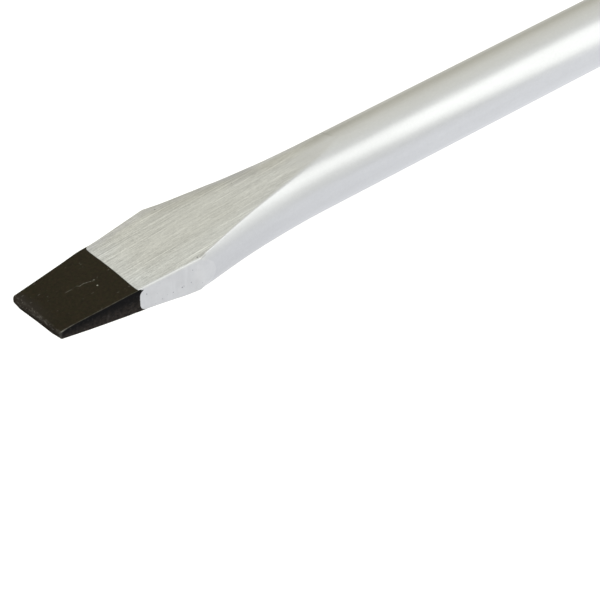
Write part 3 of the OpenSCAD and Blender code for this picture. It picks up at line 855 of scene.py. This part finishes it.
def build_cap():
    p = Piece()
    # front: face with the socket for the core, rounded edge, one turned groove
    rings = [(105.02, 0.0), (105.02, 8.62), (103.2, 8.62), (100.8, 9.2), (100.0, 8.62), (98.0, 8.62)]
    wear = [0.0] * len(rings)
    rings += corner_rings(98.0, 16.0, 1, -1, 0.45)[::-1]
    wear += list(ROUND_WEAR)
    front = 103.0
    us = np.concatenate([np.linspace(98.7, 99.6, 4), np.arange(99.7, 101.6, 0.1), np.linspace(101.7, front, 6)])
    rings += [(u, float(handle_r(u)) - 0.45 * math.exp(-((u - 100.6) / 0.34) ** 4)) for u in us]
    wear += [0.6 * math.exp(-((abs(u - 100.6) - 0.42) / 0.16) ** 2) for u in us]
    p.turn(rings, wear)

    # domed body round the hanging hole
    def outline(s):
        phi = np.clip((s - 108.0) / 9.5, 0, np.pi / 2)
        return (np.where(s > 108, 108 + 12 * np.sin(phi), s), np.where(s > 108, 8.5 + 6.7 * np.cos(phi), handle_r(np.minimum(s, 108.0))))

    half, side, back = N_TURN // 2, 26, 108.0 + 9.5 * math.radians(60.0)
    a, t = np.arange(half) / half * np.pi, np.arange(side) / side
    rect = np.concatenate([
        np.stack([np.full(half, front), a], 1), np.stack([front + (back - front) * t, np.full(side, np.pi)], 1),
        np.stack([np.full(half, back), np.pi - a], 1), np.stack([back - (back - front) * t, np.zeros(side)], 1)])
    mid_s = 108.0 + 9.5 * math.asin(2.5 / 12)
    way = np.arctan2(-(rect[:, 1] - np.pi / 2) * 15.0, rect[:, 0] - mid_s)
    hole_r, lip = 3.5, 1.1

    def mouth(b):
        rad = hole_r + lip * (1 - math.sin(b))
        u, y = 110.5 + rad * np.cos(way), rad * np.sin(way)
        r = handle_r(u)
        return u, y, np.sqrt(r * r - y * y) - lip * (1 - math.cos(b)), r

    u, y, z, r = mouth(0.0)
    ring = np.stack([np.where(u > 108, 108 + 9.5 * np.arcsin(np.clip((u - 108) / 12, 0, 1)), u), np.arccos(y / r)], 1)
    rows, wear = [], []
    for t in np.linspace(1, 0, 22) ** 1.2:
        sa = ring * (1 - t) + rect * t
        uu, rr = outline(sa[:, 0])
        rows.append(np.stack([uu, rr * np.cos(sa[:, 1]), rr * np.sin(sa[:, 1])], 1))
        wear.append(0.0)
    for b, x in list(zip(np.linspace(0, np.pi / 2, 9), np.sin(2 * np.linspace(0, np.pi / 2, 9))))[1:]:
        u, y, z, r = mouth(b)
        rows.append(np.stack([u, y, z], 1))
        wear.append(x)
    rows = np.array(rows)
    p.grid(rows, wear)
    p.grid(rows * (1, 1, -1), wear)
    u, y, z, r = mouth(np.pi / 2)
    p.grid([np.stack([u, y, z * k], 1) for k in np.linspace(1, -1, 14)])

    # end: dome, flat, rounded edge of the recess for the marker
    phi = np.linspace(math.radians(60.0), np.pi / 2, 14)
    rings = [(108 + 12 * math.sin(f), 8.5 + 6.7 * math.cos(f)) for f in phi] + [(120.0, 7.7), (120.0, 6.9)]
    wear = [0.0] * len(rings)
    rings += [(120.0 - 0.35 * (1 - math.cos(b)), 6.02 + 0.35 * (1 - math.sin(b))) for b in ROUND]
    wear += list(ROUND_WEAR)
    rings += [(118.4, 6.02), (118.4, 3.0), (118.4, 0.0)]
    wear += [0.0] * 3
    p.turn(rings, wear)
    return p.build("butt_cap")


def build_marker():
    p = Piece()
    n = 192
    th = np.arange(n) * 2 * np.pi / n

    def slot(out):
        """Rounded slot outline, n points at even spacing from its +Y end."""
        hy, hz, c = 4.0 + out, 0.8 + out, 0.42 + out
        q = np.linspace(0, np.pi / 2, 12)
        quad = np.concatenate([[[hy, 0]], np.stack([hy - c + c * np.cos(q), hz - c + c * np.sin(q)], 1), [[0, hz]]])
        full = np.concatenate([quad, (quad * (-1, 1))[::-1][1:], (quad * (-1, -1))[1:], (quad * (1, -1))[::-1][1:]])
        d = np.concatenate([[0], np.cumsum(np.hypot(*np.diff(full, axis=0).T))])
        at = np.arange(n) / n * d[-1]
        return np.stack([np.interp(at, d, full[:, 0]), np.interp(at, d, full[:, 1])], 1)

    def row(u, yz):
        return np.concatenate([np.full((n, 1), float(u)), yz], 1)

    circle = np.stack([np.cos(th), np.sin(th)], 1)
    face, lip, rim = 119.86, 0.14, 0.35
    rows = [row(118.43, circle * 0.0), row(118.43, circle * 5.95), row(119.3, circle * 5.95)]
    wear = [0.0] * 3
    for b, x in zip(ROUND, ROUND_WEAR):
        rows.append(row(face - rim * (1 - math.sin(b)), circle * (5.95 - rim * (1 - math.cos(b)))))
        wear.append(x)
    outer, inner = circle * (5.95 - rim), slot(lip)
    for t in np.linspace(0, 1, 9)[1:]:
        rows.append(row(face, outer * (1 - t) + inner * t))
        wear.append(0.0)
    for b, x in list(zip(ROUND, ROUND_WEAR))[1:]:
        rows.append(row(face - lip * (1 - math.cos(b)), slot(lip * (1 - math.sin(b)))))
        wear.append(-0.2)
    floor = slot(-0.05)
    bowed = np.stack([floor[:, 0] * (0.98 - 0.05 * (floor[:, 1] / 0.75) ** 2), 0.7 * floor[:, 1]], 1)
    rows += [row(119.46, slot(0.0)), row(119.42, floor), row(119.42, bowed)]
    wear += [-1.0] * 3
    p.grid(rows, wear)
    p.strip(row(119.42, bowed))
    return p.build("slot_marker")


def moulded(name, dark, light, rough, grain, depth, worn, scuff=0.5, seam=0.0, spec=0.5, sheen=0.0, polish=0.0):
    """Moulded plastic or elastomer: tool texture, slight colour drift, handling marks, paler rubbed edges."""
    g = Graph(name)
    v, x, y, z = g.coords()
    wear = g.attr("wear")
    fine = g.noise(v, grain, 3.0, 0.6)
    cell = g.voronoi(v, grain * 0.8)
    drift = g.noise(g.stretch(v, (0.05, 0.10, 0.10), (3.0, 1.0, 7.0)), 1.0, 3.0, 0.55)
    touch = g.noise(g.stretch(v, (0.16, 0.22, 0.22), (8.0, 2.0, 5.0)), 1.0, 4.0, 0.6)
    arc = g.mul(g.math("ARCTAN2", z, y), 14.0)
    flat = g.node("ShaderNodeCombineXYZ")
    g.put(flat.inputs[0], x)
    g.put(flat.inputs[1], arc)
    marks = None
    for turn, shift in ((0.5, 1.0), (-0.35, 6.0), (1.35, 11.0)):
        rot = g.node("ShaderNodeVectorRotate", rotation_type="Z_AXIS")
        g.put(rot.inputs["Vector"], flat.outputs[0])
        rot.inputs["Angle"].default_value = turn
        one = g.noise(g.stretch(rot.outputs[0], (0.13, 5.0, 1.0), (shift, shift * 2, shift)), 1.0, 1.0, 0.5)
        one = g.step(one, 0.75, 0.80)
        marks = one if marks is None else g.math("MAXIMUM", marks, one)
    marks = g.mul(marks, g.step(touch, 0.45, 0.62, 0.0, scuff))
    rubbed = g.mul(g.math("MAXIMUM", wear, 0.0), g.step(g.noise(v, 0.8, 3.0, 0.6), 0.36, 0.66, 0.05, 0.6))
    base = g.mix(g.step(drift, 0.3, 0.7), dark, light)
    n = g.node("ShaderNodeVectorMath", operation="SCALE")
    g.put(n.inputs[0], base)
    g.put(n.inputs["Scale"], g.add(g.mul(g.sub(fine, 0.5), 0.9), 1.0))
    base = g.mix(g.math("MAXIMUM", rubbed, g.mul(marks, 0.5)), n.outputs[0], worn)
    r = g.add(g.mul(g.sub(fine, 0.5), 0.20), g.add(g.mul(g.sub(touch, 0.5), 0.30), rough))
    r = g.sub(r, g.mul(rubbed, 0.08))
    if polish:
        # smoother where the hand rubs, on the high lands of the palm
        rad = g.math("SQRT", g.add(g.mul(y, y), g.mul(z, z)))
        r = g.sub(r, g.mul(g.step(rad, 15.8, 17.2), polish))
    height = g.add(g.mul(fine, 0.7), g.mul(cell, 0.8))
    height = g.sub(height, g.mul(marks, 0.25))
    if seam:
        # line left by the two halves of the mould
        line = g.mul(g.step(g.math("ABSOLUTE", z), 0.10, 0.04), seam)
        height = g.add(height, line)
    return g, g.set(base=base, rough=r, normal=g.bump(height, 0.8, depth), spec=spec, sheen=sheen)


def marker_material():
    g, mat = moulded("marker_plastic", (0.40, 0.40, 0.385), (0.47, 0.47, 0.455), 0.32, 3.2, 0.014, (0.58, 0.58, 0.56), 0.35)
    # the slot mark is filled with dark paint
    ink = g.step(g.attr("wear"), -0.1, -0.6)
    link = g.bsdf.inputs["Base Color"].links[0].from_socket
    g.put(g.bsdf.inputs["Base Color"], g.mix(ink, link, (0.020, 0.020, 0.022)))
    return mat


def fit(piece, node, mat):
    piece.data.materials.append(mat)
    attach(piece, "root")
    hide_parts(node)


soft = moulded("soft_grip", (0.0125, 0.0125, 0.0132), (0.0175, 0.0175, 0.0182), 0.56, 2.7, 0.07, (0.034, 0.034, 0.035), 0.12, spec=0.32, sheen=0.02, polish=0.14)[1]
hard = moulded("shell_plastic", (0.072, 0.080, 0.089), (0.086, 0.095, 0.105), 0.40, 2.8, 0.028, (0.150, 0.162, 0.175), 0.5, seam=1.6, spec=0.45)[1]
cap_mat = moulded("cap_plastic", (0.068, 0.076, 0.085), (0.082, 0.091, 0.101), 0.40, 2.8, 0.028, (0.150, 0.162, 0.175), 0.7, seam=1.6, spec=0.45)[1]
core = moulded("core_plastic", (0.013, 0.013, 0.014), (0.018, 0.018, 0.019), 0.44, 2.4, 0.06, (0.040, 0.040, 0.042), 0.4, spec=0.4)[1]

fit(build_blade(), "blade", steel_material())
fit(build_core(), "handle_core", core)
fit(build_shell(), "hard_shell", hard)
fit(build_thumb(), "thumb_grip", soft)
fit(build_palm(), "palm_grip", soft)
fit(build_cap(), "end_cap", cap_mat)
fit(build_marker(), "type_marker", marker_material())


# ---------------------------------------------------------------- stage, light and camera
def build_stage():
    z = CAD_BOX[0][2] / MM - 0.02
    n = 2500.0
    fl = make_mesh("floor", [(-n, -n, z), (n, -n, z), (n, n, z), (-n, n, z)], [(0, 1, 2, 3)], smooth=False)
    g = Graph("floor_white")
    v, x, y, zz = g.coords()
    base = g.mix(g.noise(v, 0.02, 2.0, 0.5), (0.88, 0.88, 0.885), (0.90, 0.90, 0.90))
    g.set(base=base, rough=0.9, spec=0.0)
    g.bsdf.inputs["Emission Color"].default_value = (1.0, 1.0, 1.0, 1.0)
    g.bsdf.inputs["Emission Strength"].default_value = 0.34
    # painted light: seen from anything but the camera the floor glows as a lamp, bluish white in front, warm and dim
    # just behind the tool, and dimmer under the handle
    glow = g.node("ShaderNodeEmission")
    g.put(glow.inputs["Color"], g.mix(g.step(y, 8.0, 32.0), g.mix(g.step(x, 35.0, 85.0), (1.030, 1.046, 1.085), (1.112, 1.132, 1.174)), g.mix(g.step(y, 42.0, 86.0), (0.60, 0.588, 0.515), (0.98, 0.97, 0.90))))
    g.put(glow.inputs["Strength"], g.step(x, 170.0, 235.0, 1.0, 0.62))
    lp = g.node("ShaderNodeLightPath")
    mx = g.node("ShaderNodeMixShader")
    g.t.links.new(lp.outputs["Is Camera Ray"], mx.inputs[0])
    g.t.links.new(glow.outputs[0], mx.inputs[1])
    g.t.links.new(g.bsdf.outputs[0], mx.inputs[2])
    g.t.links.new(mx.outputs[0], g.out.inputs[0])
    fl.data.materials.append(g.mat)


def build_world():
    w = bpy.data.worlds.new("studio")
    bpy.context.scene.world = w
    w.use_nodes = True
    t = w.node_tree
    t.nodes.clear()
    out = t.nodes.new("ShaderNodeOutputWorld")
    bg = t.nodes.new("ShaderNodeBackground")
    tc = t.nodes.new("ShaderNodeTexCoord")
    sp = t.nodes.new("ShaderNodeSeparateXYZ")
    t.links.new(tc.outputs["Generated"], sp.inputs[0])
    # the backdrop behind the tool: warm and dimmer low down, bright overhead
    rp = t.nodes.new("ShaderNodeValToRGB")
    rp.color_ramp.interpolation = "LINEAR"
    stops = [(0.0, (0.556, 0.543, 0.450)), (0.10, (0.574, 0.562, 0.468)), (0.35, (0.768, 0.751, 0.640)), (0.50, (0.868, 0.852, 0.750)),
             (0.63, (0.966, 0.956, 0.878)), (0.75, (1.018, 1.020, 0.949)), (0.85, (1.020, 1.030, 0.964)), (1.0, (1.005, 1.020, 0.964))]
    while len(rp.color_ramp.elements) < len(stops):
        rp.color_ramp.elements.new(0.5)
    for e, (p, c) in zip(rp.color_ramp.elements, stops):
        e.position = p
        e.color = (*c, 1.0)
    t.links.new(sp.outputs[2], rp.inputs[0])
    fr = t.nodes.new("ShaderNodeMapRange")
    fr.interpolation_type = "SMOOTHSTEP"
    fr.inputs["From Min"].default_value = -0.15
    fr.inputs["From Max"].default_value = 0.15
    t.links.new(sp.outputs[1], fr.inputs["Value"])
    m1 = t.nodes.new("ShaderNodeMix")
    m1.data_type = "RGBA"
    t.links.new(fr.outputs[0], m1.inputs[0])
    m1.inputs[6].default_value = (1.005, 1.02, 1.005, 1.0)
    t.links.new(rp.outputs[0], m1.inputs[7])
    lp = t.nodes.new("ShaderNodeLightPath")
    mx = t.nodes.new("ShaderNodeMix")
    mx.data_type = "RGBA"
    t.links.new(lp.outputs["Is Camera Ray"], mx.inputs[0])
    t.links.new(m1.outputs[2], mx.inputs[6])
    mx.inputs[7].default_value = (1.0, 1.0, 1.0, 1.0)
    t.links.new(mx.outputs[2], bg.inputs[0])
    t.links.new(bg.outputs[0], out.inputs[0])


def area(name, centre, back, wide, width, length, radiance, col=(1, 1, 1), spread=180.0):
    """A softbox: centre in mm, back = direction from the tool to it, wide = its width axis."""
    li = bpy.data.lights.new(name, "AREA")
    li.shape = "RECTANGLE"
    li.size, li.size_y = width * MM, length * MM
    li.energy = radiance * math.pi * li.size * li.size_y
    li.color = col
    li.spread = math.radians(spread)
    ob = bpy.data.objects.new(name, li)
    zz = Vector(back).normalized()
    xx = (Vector(wide) - Vector(wide).dot(zz) * zz).normalized()
    yy = zz.cross(xx)
    m = Matrix.Identity(4)
    for i in range(3):
        m[i][0], m[i][1], m[i][2], m[i][3] = xx[i], yy[i], zz[i], centre[i] * MM
    ob.matrix_world = m
    ob.visible_camera = False
    bpy.context.scene.collection.objects.link(ob)
    return ob


def build_camera():
    az, el, roll = math.radians(-39.46), math.radians(39.03), math.radians(-0.96)
    dist, focal_px = 307.4, 2799.0
    target = np.array([28.58, -9.35, -6.84])
    back = np.array([math.sin(az) * math.cos(el), -math.cos(az) * math.cos(el), math.sin(el)])
    right = np.array([math.cos(az), math.sin(az), 0.0])
    up = np.cross(back, right)
    r2 = math.cos(roll) * right + math.sin(roll) * up
    u2 = -math.sin(roll) * right + math.cos(roll) * up
    pos = (target + back * dist) * MM
    cam = bpy.data.cameras.new("camera")
    cam.sensor_fit = "HORIZONTAL"
    cam.sensor_width = 36.0
    cam.lens = focal_px / 600.0 * 36.0
    cam.clip_start, cam.clip_end = 0.01, 20.0
    ob = bpy.data.objects.new("camera", cam)
    m = Matrix.Identity(4)
    for i in range(3):
        m[i][0], m[i][1], m[i][2], m[i][3] = r2[i], u2[i], back[i], pos[i]
    ob.matrix_world = m
    bpy.context.scene.collection.objects.link(ob)
    bpy.context.scene.camera = ob


build_stage()
build_world()
area("softbox", (117.4, -69.6, 98.6), (0.711, -0.679, 0.183), (0.542, 0.695, 0.472), 84.0, 266.0, 0.84, (0.985, 1.0, 0.965))
area("handle_light", (222.0, -150.0, 265.0), (-0.06, -0.49, 0.87), (1.0, 0.0, 0.0), 130.0, 110.0, 3.6, (1.0, 0.995, 0.985), 34.0)
build_camera()
vs = bpy.context.scene.view_settings
vs.view_transform = "Standard"
vs.look = "None"
vs.exposure = 0.0
vs.gamma = 1.0
